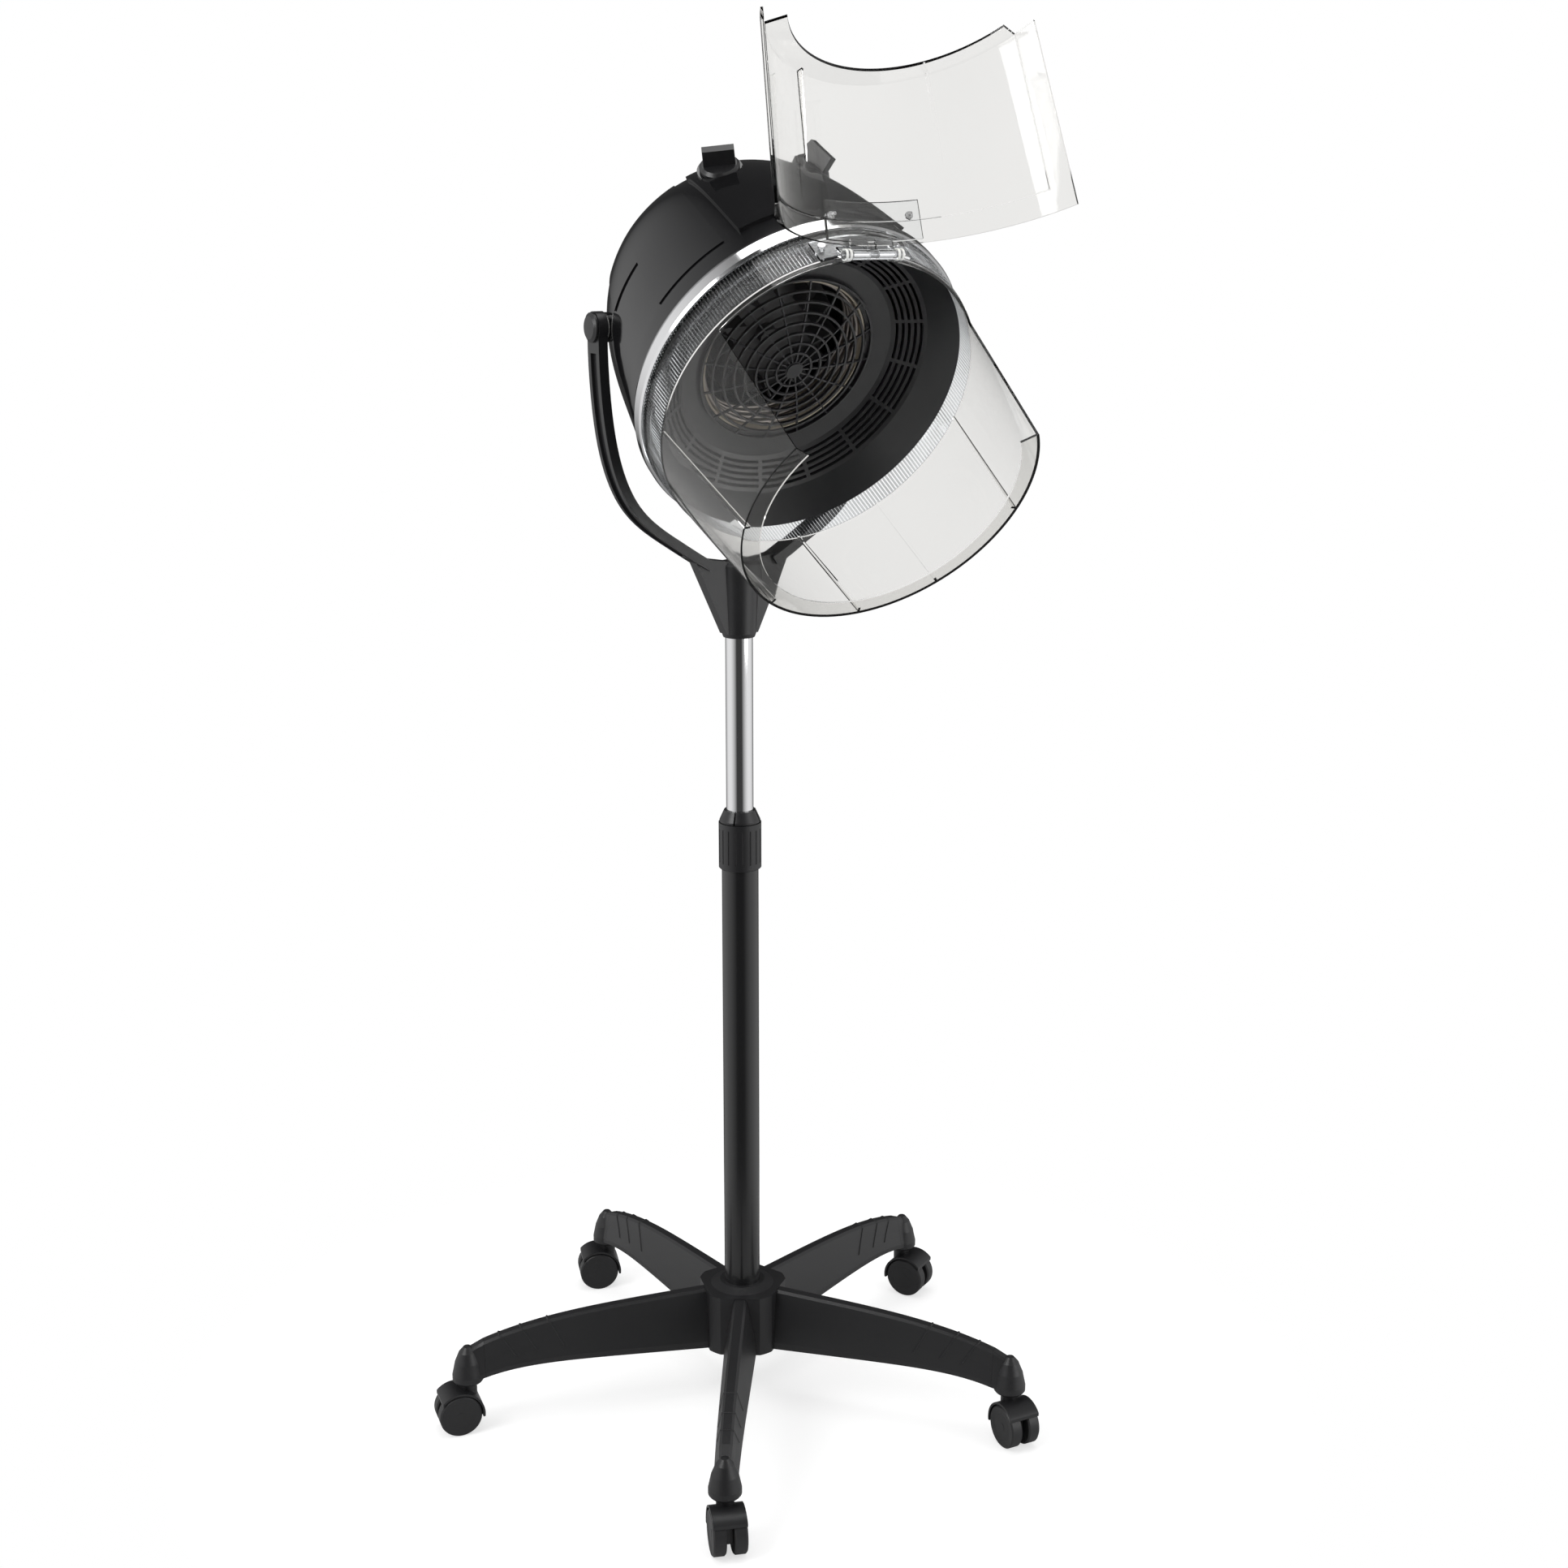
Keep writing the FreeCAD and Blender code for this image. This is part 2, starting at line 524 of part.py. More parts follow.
def knob_pocket(side):
    """Room above a knob's flat seat."""
    seat = shell_radius(KNOB_Z) + KNOB_SEAT - MOVE
    return rod(KNOB_RADIUS + 1.5, knob_axis(side) * seat + V(0, 0, KNOB_Z), knob_axis(side), 60)


def knob_boss(side):
    """Raised round seat under a knob."""
    seat = shell_radius(KNOB_Z) + KNOB_SEAT - MOVE
    return rod(KNOB_RADIUS + 2.5, knob_axis(side) * (seat - 16) + V(0, 0, KNOB_Z), knob_axis(side), 16)


def knob_axis(side):
    """Outward direction of a knob's shaft."""
    angle = math.radians(KNOB_ANGLE)
    return V(side * math.sin(angle), math.cos(angle), 0)


def make_knob(side):
    """Round skirt, tall finger blade and stem, along the knob's axis."""
    seat = shell_radius(KNOB_Z) + KNOB_SEAT
    disc = turned(((0, 0), (KNOB_RADIUS, 0), (KNOB_RADIUS, 3.0), (KNOB_RADIUS - 2.5, 6.0), (0, 7.0)))
    blade = box(-4.5, 4.5, -15.0, 15.0, 3.0, 22.0).common(rod(15.5, V(0, 0, 0), V(0, 0, 1), 30))
    stem = rod(KNOB_SHAFT_RADIUS, V(0, 0, -26), V(0, 0, 1), 28)
    knob = union([disc, blade, stem])
    knob.rotate(V(0, 0, 0), V(0, 0, 1), 90.0 * (side < 0))
    turn = FreeCAD.Rotation(V(0, 0, 1), knob_axis(side))
    return knob.transformed(FreeCAD.Placement(knob_axis(side) * seat + V(0, 0, KNOB_Z), turn).toMatrix())


def make_control_unit(side, width, depth):
    """Switch or timer body under the shell, bored for the knob's stem."""
    top = shell_radius(KNOB_Z - width / 2) - SHELL_WALL - 4.0
    neck_top = shell_radius(KNOB_Z - 6.0) - SHELL_WALL + 0.3
    body = box(-width / 2, width / 2, -width / 2, width / 2, top - depth, top)
    neck = tube(KNOB_SHAFT_RADIUS + RUN, KNOB_SHAFT_RADIUS + 3.0, top - 0.5, neck_top)
    unit = union([body, neck]).cut(rod(KNOB_SHAFT_RADIUS + RUN, V(0, 0, top - 14), V(0, 0, 1), 30))
    turn = FreeCAD.Rotation(V(0, 0, 1), knob_axis(side))
    return unit.transformed(FreeCAD.Placement(V(0, 0, KNOB_Z), turn).toMatrix())


def build_shell():
    """Dome, panel, covers, rings and vent."""
    save_hood(make_shell(), "outer_shell")
    panel = dome_band(SEAT, PANEL_PROUD, PANEL_BACK, PANEL_FRONT, -PANEL_HALF_ANGLE, PANEL_HALF_ANGLE)
    panel = union([panel] + [knob_boss(side).cut(dome_solid(SEAT)) for side in (-1, 1)])
    for side in (-1, 1):
        panel = panel.cut(rod(KNOB_SHAFT_RADIUS + 1, V(0, 0, KNOB_Z), knob_axis(side), 200))
        panel = panel.cut(knob_pocket(side))
    save_hood(panel, "control_panel")
    first, middle, last = COVER_ANGLES
    cover = union([dome_band(SEAT, COVER_PROUD, COVER_BACK, COVER_FRONT, first, middle),
                   dome_band(SEAT, COVER_PROUD, COVER_BACK, COVER_STEP, middle - 0.5, last)])
    save_hood(Part.makeCompound(mirrored(cover)), "side_covers")
    ring = turned(((SHELL_PROFILE[-1][1] + 0.3, RING_BACK), (RING_RADIUS - 1.0, RING_BACK), (RING_RADIUS, RING_BACK + 3),
                   (RING_RADIUS, RING_FRONT - 3), (RING_RADIUS - 1.0, RING_FRONT), (SHELL_PROFILE[-1][1] + 0.3, RING_FRONT)))
    save_hood(ring, "chrome_ring")
    base = COLLAR_RING_BASE_RADIUS
    wall = 2.5
    collar = turned(((base - 8, SHELL_FRONT + 0.6), (base, SHELL_FRONT + 0.6), (base, SHELL_FRONT + 8),
                     (SKIRT_BASE_RADIUS, COLLAR_RING_FRONT), (SKIRT_BASE_RADIUS - wall, COLLAR_RING_FRONT),
                     (base - wall - 0.3, SHELL_FRONT + 3), (base - 8, SHELL_FRONT + 3)))
    save_hood(collar.cut(Part.makeCompound(lower_screws(RUN))), "collar_ring")
    hole = VENT_RADIUS - 4.0
    vent = turned(((0, SHELL_BACK - 4), (VENT_RADIUS - 6, SHELL_BACK - 2), (VENT_RADIUS, SHELL_BACK + 2.5),
                   (VENT_RADIUS, SHELL_BACK + 5.6), (hole - 0.2, SHELL_BACK + 5.6), (hole - 0.2, SHELL_BACK + 11),
                   (hole - 2.2, SHELL_BACK + 11), (hole - 2.2, SHELL_BACK + 2), (0, SHELL_BACK)))
    for k in range(-4, 5):
        reach = math.sqrt((VENT_RADIUS - 12) ** 2 - (6.0 * k) ** 2)
        vent = vent.cut(box(-reach, reach, 6.0 * k - 1.4, 6.0 * k + 1.4, SHELL_BACK - 20, SHELL_BACK + 30))
    screws = around(vent_screw(0.0), 3, 90.0)
    vent = vent.cut(Part.makeCompound(around(vent_screw(RUN), 3, 90.0)))
    save_hood(vent, "intake_vent")
    save_hood(Part.makeCompound(screws), "vent_screws")
    gland = turned(((GLAND_BORE, 0), (GLAND_RADIUS, 0), (GLAND_RADIUS, GLAND_LENGTH - 9), (GLAND_RADIUS + 3, GLAND_LENGTH - 9),
                    (GLAND_RADIUS + 1, GLAND_LENGTH), (GLAND_BORE, GLAND_LENGTH)))
    gland.rotate(V(0, 0, 0), V(1, 0, 0), 90)
    gland.translate(V(0, -shell_radius(GLAND_Z) + GLAND_INNER, GLAND_Z))
    save_hood(gland, "cord_gland")


def vent_screw(grow):
    """Pan-head screw through the vent's rim, along the hood's axis."""
    seat = V(0, VENT_RADIUS - 8.0, SHELL_BACK - 1.6)
    return union([rod(3.0 + grow, seat - V(0, 0, 1.6), V(0, 0, 1), 1.6), rod(1.4 + grow, seat, V(0, 0, 1), 10.0)])


def skirt_radius(z):
    """Outer radius of the skirt at a depth."""
    return SKIRT_BASE_RADIUS - SKIRT_TAPER * (z - COLLAR_RING_FRONT)


def cone(offset, z0, z1):
    """Solid cone that follows the skirt's outside, moved outwards by offset."""
    return Part.makeCone(skirt_radius(z0) + offset, skirt_radius(z1) + offset, z1 - z0, V(0, 0, z0))


def make_skirt():
    """Transparent skirt with its inward lip, its inner ribs and the notch for the visor."""
    base = COLLAR_RING_FRONT + SEAT
    low = COLLAR_RING_FRONT + SKIRT_LENGTH_BELOW
    y_low = -skirt_radius(low)
    far = low + 90.0
    keep = slab(300.0, -200.0, low, RIM_SLOPE, y_low)
    wall = cone(0, base, far).cut(cone(-SKIRT_WALL, base - 1, far + 1))
    lip = cone(0, base, far).cut(cone(-SKIRT_LIP, base - 1, far + 1))
    lip = lip.common(slab(300.0, low - SKIRT_WALL, low, RIM_SLOPE, y_low))
    body = union([wall.common(keep), lip])
    ribs = []
    for angle in (98.0, 140.0, 172.0, 214.0, 262.0):
        rib = turned(((skirt_radius(base) - 4.0, base), (skirt_radius(base) - 1.0, base),
                      (skirt_radius(far) - 1.0, far), (skirt_radius(far) - 9.0, far)), angle - 0.5, angle + 0.5)
        ribs.append(rib.common(keep))
    body = union([body] + ribs)
    wedge = []
    for z, half in ((base + 6.0, NOTCH_HALF_ANGLE), (far + 20.0, NOTCH_HALF_ANGLE + NOTCH_SPREAD)):
        tan = math.tan(math.radians(90.0 - half))
        wedge.append(Part.makePolygon([V(0, 0, z), V(240, 240 * tan, z), V(240, 400, z), V(-240, 400, z),
                                       V(-240, 240 * tan, z), V(0, 0, z)]))
    return body.cut(Part.makeLoft(wedge, True, True))


def bowl_outline():
    """The bowl's face towards the hair, as (radius, z)."""
    rim = COLLAR_RING_BASE_RADIUS - 4.0
    return ((GRILLE_RADIUS - 6, 97.0), (108.0, 102.0), (138.0, 120.0), (rim - 0.1, BOWL_RIM_Z))


def make_bowl():
    """Inner bowl: plain band, conical air ring and a seat for the centre grille."""
    front = list(bowl_outline())
    back = [(r, z - BOWL_WALL * 1.3) for r, z in reversed(front)]
    bowl = turned(front + back)
    slots = []
    for k in range(5):
        r = 112.0 + 5.0 * k
        slots.append(tube(r, r + 2.4, 80, 140))
    slots = Part.makeCompound(slots)
    spoke = box(-2.0, 2.0, 90, 145, 60, 160)
    spokes = union(around(spoke, GRILLE_SPOKES))
    return bowl.cut(slots.cut(spokes))


def make_grille():
    """Domed centre grille: rings and spokes, bulging towards the opening."""
    rings = []
    for k in range(GRILLE_RINGS):
        r = 8.0 + (GRILLE_RADIUS - 10.0) * k / (GRILLE_RINGS - 1)
        z = grille_height(r)
        rings.append(tube(r - 1.0, r + 1.0, z - 3.0, z))
    hub = rod(7.5, V(0, 0, grille_height(0) - 3), V(0, 0, 1), 4.0)
    spokes = []
    steps = [4.0, 30.0, 60.0, GRILLE_RADIUS - 1.0]
    top = [(r, grille_height(r) - 0.4) for r in steps]
    under = [(r, z - 2.2) for r, z in reversed(top)]
    corners = [V(-0.8, r, z) for r, z in top + under]
    spoke = Part.Face(Part.makePolygon(corners + corners[:1])).extrude(V(1.6, 0, 0))
    spokes = around(spoke, GRILLE_SPOKES)
    return union([hub] + rings + spokes)


def grille_height(r):
    """Front of the centre grille at a radius."""
    return 116.0 - 15.0 * (r / GRILLE_RADIUS) ** 2


def build_inside():
    """Bowl, grille, fan, motor, heater and controls."""
    save_hood(make_bowl(), "inner_bowl")
    save_hood(make_grille(), "centre_grille")
    motor = union([rod(MOTOR_RADIUS, V(0, 0, MOTOR_BACK), V(0, 0, 1), MOTOR_FRONT - MOTOR_BACK),
                   rod(10.0, V(0, 0, MOTOR_BACK - 5), V(0, 0, 1), 10),
                   rod(12.0, V(0, 0, MOTOR_FRONT - 1), V(0, 0, 1), 5)])
    motor = motor.cut(rod(SHAFT_RADIUS + RUN, V(0, 0, MOTOR_FRONT - 30), V(0, 0, 1), 60))
    save_hood(motor, "motor")
    arm = box(-8, 8, MOTOR_RADIUS + SEAT, 150, 12, 15)
    hoop = tube(MOTOR_RADIUS + SEAT, MOTOR_RADIUS + 6, 4, 24)
    arms = [piece.common(rod(shell_radius(12) - SHELL_WALL + 0.4, V(0, 0, 0), V(0, 0, 1), 40)) for piece in around(arm, 4, 45.0)]
    save_hood(union([hoop] + arms), "motor_bracket")
    frame = tube(HEATER_RADIUS, HEATER_RADIUS + 1.5, 56, 97.0 - BOWL_WALL * 1.3 + 1.0)
    foot = tube(HEATER_RADIUS, HEATER_RADIUS + 8, 92.0, 93.8)
    save_hood(union([frame, foot]), "heater_frame")
    coils = [Part.makeTorus(HEATER_RADIUS - 2.8, 2.2, V(0, 0, z), V(0, 0, 1)) for z in (62.0, 70.0, 78.0, 86.0)]
    save_hood(Part.makeCompound(coils), "heater_coil")
    thermostat = box(-10, 10, HEATER_RADIUS + 1.8, HEATER_RADIUS + 10, 70, 84)
    save_hood(thermostat, "thermostat")
    save_hood(make_control_unit(-1, 34.0, 26.0), "timer_unit")
    save_hood(make_control_unit(1, 28.0, 20.0), "heat_switch")
    save_hood(make_knob(-1), "timer_knob")
    save_hood(make_knob(1), "heat_knob")
    save_hood(make_fan(), "fan_wheel")


def make_fan():
    """Centrifugal wheel on its shaft."""
    plate = rod(FAN_RADIUS, V(0, 0, FAN_BACK), V(0, 0, 1), 2.0)
    hub = rod(10.0, V(0, 0, FAN_BACK - 6), V(0, 0, 1), 20.0)
    blade = box(-0.9, 0.9, 42.0, FAN_RADIUS - 0.5, FAN_BACK + 1, FAN_FRONT)
    blade.rotate(V(0, 42, 0), V(0, 0, 1), 35)
    blades = [b.common(rod(FAN_RADIUS, V(0, 0, FAN_BACK), V(0, 0, 1), 60)) for b in around(blade, FAN_BLADES)]
    shaft = rod(SHAFT_RADIUS, V(0, 0, MOTOR_FRONT - 28), V(0, 0, 1), FAN_BACK + 8 - MOTOR_FRONT + 28)
    return union([plate, hub, shaft] + blades)


def build_pivots():
    """Bolts through the arms into the hood's bosses, and the friction washers."""
    bolt = rod(PIVOT_BOLT_RADIUS, V(118, -HOOD_LIFT, 0), V(1, 0, 0), ARM_INNER + ARM_THICKNESS - 118)
    nut = rod(10.0, V(118, -HOOD_LIFT, 0), V(1, 0, 0), 7.8)
    save_hood(Part.makeCompound(mirrored(union([bolt, nut]))), "pivot_bolts")
    washer = rod(PIVOT_PAD_RADIUS - 2, V(ARM_INNER - 1.5, -HOOD_LIFT, 0), V(1, 0, 0), 1.2)
    washer = washer.cut(rod(PIVOT_BOLT_RADIUS + RUN, V(100, -HOOD_LIFT, 0), V(1, 0, 0), 100))
    save_hood(Part.makeCompound(mirrored(washer)), "friction_washers")


# ---- visor and hinge -----------------------------------------------------------------------------
def opened(shape):
    """Turn a piece that was built with the visor closed to the open rest position."""
    item = shape.copy()
    item.rotate(V(0, PIN_Y, PIN_Z), V(1, 0, 0), -VISOR_OPEN)
    return item


def make_visor():
    """Curved clear panel with a stepped flange on three sides, an inward lip and two ribs."""
    far = VISOR_FRONT + 60.0
    y_mid = skirt_radius(VISOR_FRONT)
    step = VISOR_FLANGE_STEP
    raised = VISOR_PANEL_STEP
    sector = turned(((1, VISOR_BACK), (300, VISOR_BACK), (300, far), (1, far)), -VISOR_HALF_ANGLE, VISOR_HALF_ANGLE)
    wide_angle = VISOR_HALF_ANGLE + VISOR_FLANGE
    wide = turned(((1, VISOR_BACK), (300, VISOR_BACK), (300, far), (1, far)), -wide_angle, wide_angle)
    keep = slab(300.0, -200.0, VISOR_FRONT, -VISOR_EDGE_SLOPE, y_mid)
    inner_panel = cone(raised, VISOR_BACK, far).cut(cone(raised - VISOR_WALL, VISOR_BACK - 1, far + 1))
    flange = cone(step, VISOR_BACK, far).cut(cone(step - VISOR_WALL, VISOR_BACK - 1, far + 1))
    inner_sector = turned(((1, VISOR_BACK + 20), (300, VISOR_BACK + 20), (300, far), (1, far)),
                          -VISOR_HALF_ANGLE, VISOR_HALF_ANGLE)
    border = flange.common(wide).cut(inner_sector)
    panel = inner_panel.common(inner_sector)
    lip = cone(raised, VISOR_BACK, far).cut(cone(-VISOR_LIP, VISOR_BACK - 1, far + 1))
    lip = lip.common(slab(300.0, VISOR_FRONT - VISOR_WALL, VISOR_FRONT, -VISOR_EDGE_SLOPE, y_mid)).common(inner_sector)
    ribs = []
    for angle in (-27.0, 27.0):
        rib = turned(((skirt_radius(VISOR_FRONT - 75), VISOR_FRONT - 75), (skirt_radius(far) - 8, far),
                      (skirt_radius(far) + 1.5, far), (skirt_radius(VISOR_FRONT - 75) + 1.5, VISOR_FRONT - 75)),
                     angle - 0.5, angle + 0.5)
        ribs.append(rib.common(keep))
    visor = union([border.common(keep), panel.common(keep), lip] + ribs)
    return visor.cut(Part.makeCompound(upper_screws(RUN)))


def leaf_screws(radius, z, grow=0.0):
    """Two pan-head screws with radial shanks, their heads seated at a radius."""
    angle = math.asin(SCREW_SPACING / radius)
    out = V(math.sin(angle), math.cos(angle), 0)
    seat = out * radius + V(0, 0, z)
    screw = union([rod(3.5 + grow, seat, out, 2.0), rod(1.6 + grow, seat - out * 6.0, out, 6.5)])
    return mirrored(screw)


def lower_screws(grow=0.0):
    """Screws that hold the lower leaf to the collar."""
    return leaf_screws(SKIRT_BASE_RADIUS + 4.6 + SEAT, COLLAR_RING_FRONT - 12.0, grow)


def upper_screws(grow=0.0):
    """Screws that hold the upper leaf to the visor."""
    z = VISOR_BACK + 26.0
    return leaf_screws(skirt_radius(z) + VISOR_FLANGE_STEP + LEAF_THICKNESS + 2 * SEAT, z, grow)


def knuckle(x0, x1):
    """One barrel of the hinge round the pin."""
    return rod(KNUCKLE_RADIUS, V(x0, PIN_Y, PIN_Z), V(1, 0, 0), x1 - x0)


def make_lower_leaf():
    """Leaf on top of the collar and skirt base, with two outer knuckles."""
    z0, z1 = COLLAR_RING_FRONT - 22.0, COLLAR_RING_FRONT + 3.0
    plate = turned(((SKIRT_BASE_RADIUS + 2.6, z0), (SKIRT_BASE_RADIUS + 5.4, z0), (SKIRT_BASE_RADIUS + 3.4, z1),
                    (SKIRT_BASE_RADIUS + 0.5, z1)), -17.0, 17.0)
    ears = []
    for x0, x1 in ((-PIN_HALF_LENGTH + 2, -PIN_HALF_LENGTH + 10), (-4.0, 4.0), (PIN_HALF_LENGTH - 10, PIN_HALF_LENGTH - 2)):
        ears.append(knuckle(x0, x1))
        ears.append(box(x0, x1, SKIRT_BASE_RADIUS + 1.5, PIN_Y, PIN_Z - 14, PIN_Z))
    leaf = union([plate] + ears)
    leaf = leaf.cut(rod(PIN_RADIUS, V(-100, PIN_Y, PIN_Z), V(1, 0, 0), 200))
    return leaf.cut(Part.makeCompound(lower_screws(RUN)))


def make_upper_leaf():
    """Leaf on the visor's outside, with two inner knuckles."""
    z0, z1 = VISOR_BACK + 4.0, VISOR_BACK + 38.0
    low = VISOR_FLANGE_STEP + SEAT
    plate = turned(((skirt_radius(z0) + low, z0), (skirt_radius(z0) + low + LEAF_THICKNESS, z0),
                    (skirt_radius(z1) + low + LEAF_THICKNESS, z1), (skirt_radius(z1) + low, z1)), -17.5, 17.5)
    ears = []
    for side in (-1, 1):
        x0, x1 = sorted((side * (4.0 + MOVE), side * (PIN_HALF_LENGTH - 10.0 - MOVE)))
        ears.append(knuckle(x0, x1))
        ears.append(box(x0, x1, PIN_Y - 1.5, PIN_Y + 2.0, PIN_Z, z0 + 3.0))
    leaf = union([plate] + ears)
    leaf = leaf.cut(rod(PIN_RADIUS + RUN, V(-100, PIN_Y, PIN_Z), V(1, 0, 0), 200))
    return leaf.cut(Part.makeCompound(upper_screws(RUN)))


def build_visor():
    """Visor, both hinge leaves, the pin and the screws."""
    save_hood(make_skirt(), "skirt")
    save_hood(make_lower_leaf(), "hinge_lower_leaf")
    save_hood(rod(PIN_RADIUS, V(-PIN_HALF_LENGTH, PIN_Y, PIN_Z), V(1, 0, 0), 2 * PIN_HALF_LENGTH), "hinge_pin")
    save_hood(opened(make_visor()), "visor")
    save_hood(opened(make_upper_leaf()), "hinge_upper_leaf")
    save_hood(Part.makeCompound(lower_screws()), "hinge_lower_screws")
    save_hood(opened(Part.makeCompound(upper_screws())), "hinge_upper_screws")


os.makedirs("parts", exist_ok=True)
build_base()
build_casters()
build_mast()
build_yoke()
build_shell()
build_inside()
build_pivots()
build_visor()
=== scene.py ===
# %% [markdown]
# # A hood hair dryer on a rolling stand
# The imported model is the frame: every casting, tube and hinge already sits at its real place
# and size. Building the looks round a finished frame keeps the joints true, because nothing
# that moves is ever modelled twice. This lesson gives each surface its finish, adds the fine
# moulded detail that is too small for the frame, and sets up a plain studio.

# %% Load the frame
import json
import math

import bmesh
import bpy
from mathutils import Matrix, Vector


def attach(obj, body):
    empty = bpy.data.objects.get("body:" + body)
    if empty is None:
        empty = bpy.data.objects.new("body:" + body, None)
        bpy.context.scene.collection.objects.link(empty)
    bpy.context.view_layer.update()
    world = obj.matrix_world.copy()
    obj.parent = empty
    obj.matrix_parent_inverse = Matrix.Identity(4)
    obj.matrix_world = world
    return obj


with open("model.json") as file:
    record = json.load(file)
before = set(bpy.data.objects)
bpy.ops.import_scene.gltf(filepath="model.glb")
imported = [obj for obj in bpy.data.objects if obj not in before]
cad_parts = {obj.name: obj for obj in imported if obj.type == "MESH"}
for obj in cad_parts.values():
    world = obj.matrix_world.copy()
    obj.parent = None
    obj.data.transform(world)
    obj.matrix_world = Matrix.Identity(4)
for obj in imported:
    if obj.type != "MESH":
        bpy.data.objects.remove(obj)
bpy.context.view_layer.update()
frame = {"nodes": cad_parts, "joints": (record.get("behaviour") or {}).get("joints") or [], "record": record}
nodes = frame["nodes"]
joints = {joint["name"]: joint for joint in frame["joints"]}
scene = bpy.context.scene
scene.view_settings.view_transform = "Standard"

# %% [markdown]
# ## The camera
# The stand is looked at from a little above the dome's middle, from its right front.
# A short lens close by would make the near caster large and the hood small. A longer lens
# from about two metres away keeps the mast almost straight, so that one is used.

# %% Camera
EYE = Vector((-1.0458, -1.9561, 1.2518))
LOOK_DOWN = math.radians(14.35)
LOOK_ACROSS = Vector((0.4894, 0.8721, 0.0)).normalized()
LENS_MM = 51.35
SENSOR_MM = 36.0
look = LOOK_ACROSS * math.cos(LOOK_DOWN) + Vector((0, 0, -math.sin(LOOK_DOWN)))
camera_data = bpy.data.cameras.new("camera")
camera_data.lens = LENS_MM
camera_data.sensor_width = SENSOR_MM
camera = bpy.data.objects.new("camera", camera_data)
camera.location = EYE
camera.rotation_euler = look.to_track_quat("-Z", "Y").to_euler()
scene.collection.objects.link(camera)
scene.camera = camera
print("camera looks along", [round(v, 3) for v in look])

# %% [markdown]
# ## The studio
# Black plastic shows almost nothing but reflections, so the light is shaped for them.
# An evenly white world would turn every gloss surface grey. Here the world is white where it
# is seen directly or through clear plastic, and in reflections it is dark in front and bright
# at the sides, like white walls beside a dark doorway. That draws long soft highlights down
# the tubes and the dome. Light Path tells the kinds of ray apart.

# %% World
SIDE = Vector((LOOK_ACROSS.y, -LOOK_ACROSS.x, 0.0))
DARK_FRONT = (0.05, 0.05, 0.05, 1)
BRIGHT_SIDE = (0.9, 0.9, 0.9, 1)
FILL_GREY = (0.62, 0.62, 0.62, 1)
WHITE = (1, 1, 1, 1)
world = bpy.data.worlds.new("studio")
scene.world = world
world.use_nodes = True
wn, wl = world.node_tree.nodes, world.node_tree.links
wn.clear()
w_out = wn.new("ShaderNodeOutputWorld")
w_path = wn.new("ShaderNodeLightPath")
w_coord = wn.new("ShaderNodeTexCoord")
w_dot = wn.new("ShaderNodeVectorMath")
w_dot.operation = "DOT_PRODUCT"
w_dot.inputs[1].default_value = SIDE
w_abs = wn.new("ShaderNodeMath")
w_abs.operation = "ABSOLUTE"
w_ramp = wn.new("ShaderNodeValToRGB")
w_ramp.color_ramp.elements[0].position = 0.35
w_ramp.color_ramp.elements[0].color = DARK_FRONT
w_ramp.color_ramp.elements[1].position = 0.95
w_ramp.color_ramp.elements[1].color = BRIGHT_SIDE
w_plain = wn.new("ShaderNodeBackground")
w_plain.inputs["Color"].default_value = FILL_GREY
w_glossy = wn.new("ShaderNodeBackground")
w_white = wn.new("ShaderNodeBackground")
w_white.inputs["Color"].default_value = WHITE
w_seen = wn.new("ShaderNodeMath")
w_seen.operation = "MAXIMUM"
w_mix_glossy = wn.new("ShaderNodeMixShader")
w_mix_seen = wn.new("ShaderNodeMixShader")
wl.new(w_coord.outputs["Generated"], w_dot.inputs[0])
wl.new(w_dot.outputs["Value"], w_abs.inputs[0])
wl.new(w_abs.outputs[0], w_ramp.inputs["Fac"])
wl.new(w_ramp.outputs["Color"], w_glossy.inputs["Color"])
wl.new(w_path.outputs["Is Camera Ray"], w_seen.inputs[0])
wl.new(w_path.outputs["Is Transmission Ray"], w_seen.inputs[1])
wl.new(w_path.outputs["Is Glossy Ray"], w_mix_glossy.inputs[0])
wl.new(w_plain.outputs[0], w_mix_glossy.inputs[1])
wl.new(w_glossy.outputs[0], w_mix_glossy.inputs[2])
wl.new(w_seen.outputs[0], w_mix_seen.inputs[0])
wl.new(w_mix_glossy.outputs[0], w_mix_seen.inputs[1])
wl.new(w_white.outputs[0], w_mix_seen.inputs[2])
wl.new(w_mix_seen.outputs[0], w_out.inputs["Surface"])
print("world nodes:", len(wn))

# %% [markdown]
# ## The lamps
# Small lamps leave hard bright dots on gloss plastic, and large ones leave soft windows. Three
# large square lamps are used: a key from the camera's left, a fill from its right, and one
# overhead that drops the soft shadow under the casters.


# %% Lamps
def softbox(name, place, target, size, power):
    """A square area lamp that faces a point."""
    data = bpy.data.lights.new(name, "AREA")
    data.size = size
    data.energy = power
    lamp = bpy.data.objects.new(name, data)
    lamp.location = place
    lamp.rotation_euler = (Vector(target) - Vector(place)).to_track_quat("-Z", "Y").to_euler()
    scene.collection.objects.link(lamp)


CENTRE = Vector((0.0, -0.05, 0.75))
LAMPS = {
    "key": (CENTRE - SIDE * 1.6 - LOOK_ACROSS * 1.2 + Vector((0, 0, 1.3)), 1.1, 26.0),
    "fill": (CENTRE + SIDE * 2.0 - LOOK_ACROSS * 1.0 + Vector((0, 0, 0.3)), 1.4, 14.0),
    "top": (CENTRE + Vector((0, 0, 2.4)), 1.6, 22.0),
}
for lamp_name, (place, size, power) in LAMPS.items():
    softbox(lamp_name, place, CENTRE, size, power)
print("lamps:", len(bpy.data.lights))


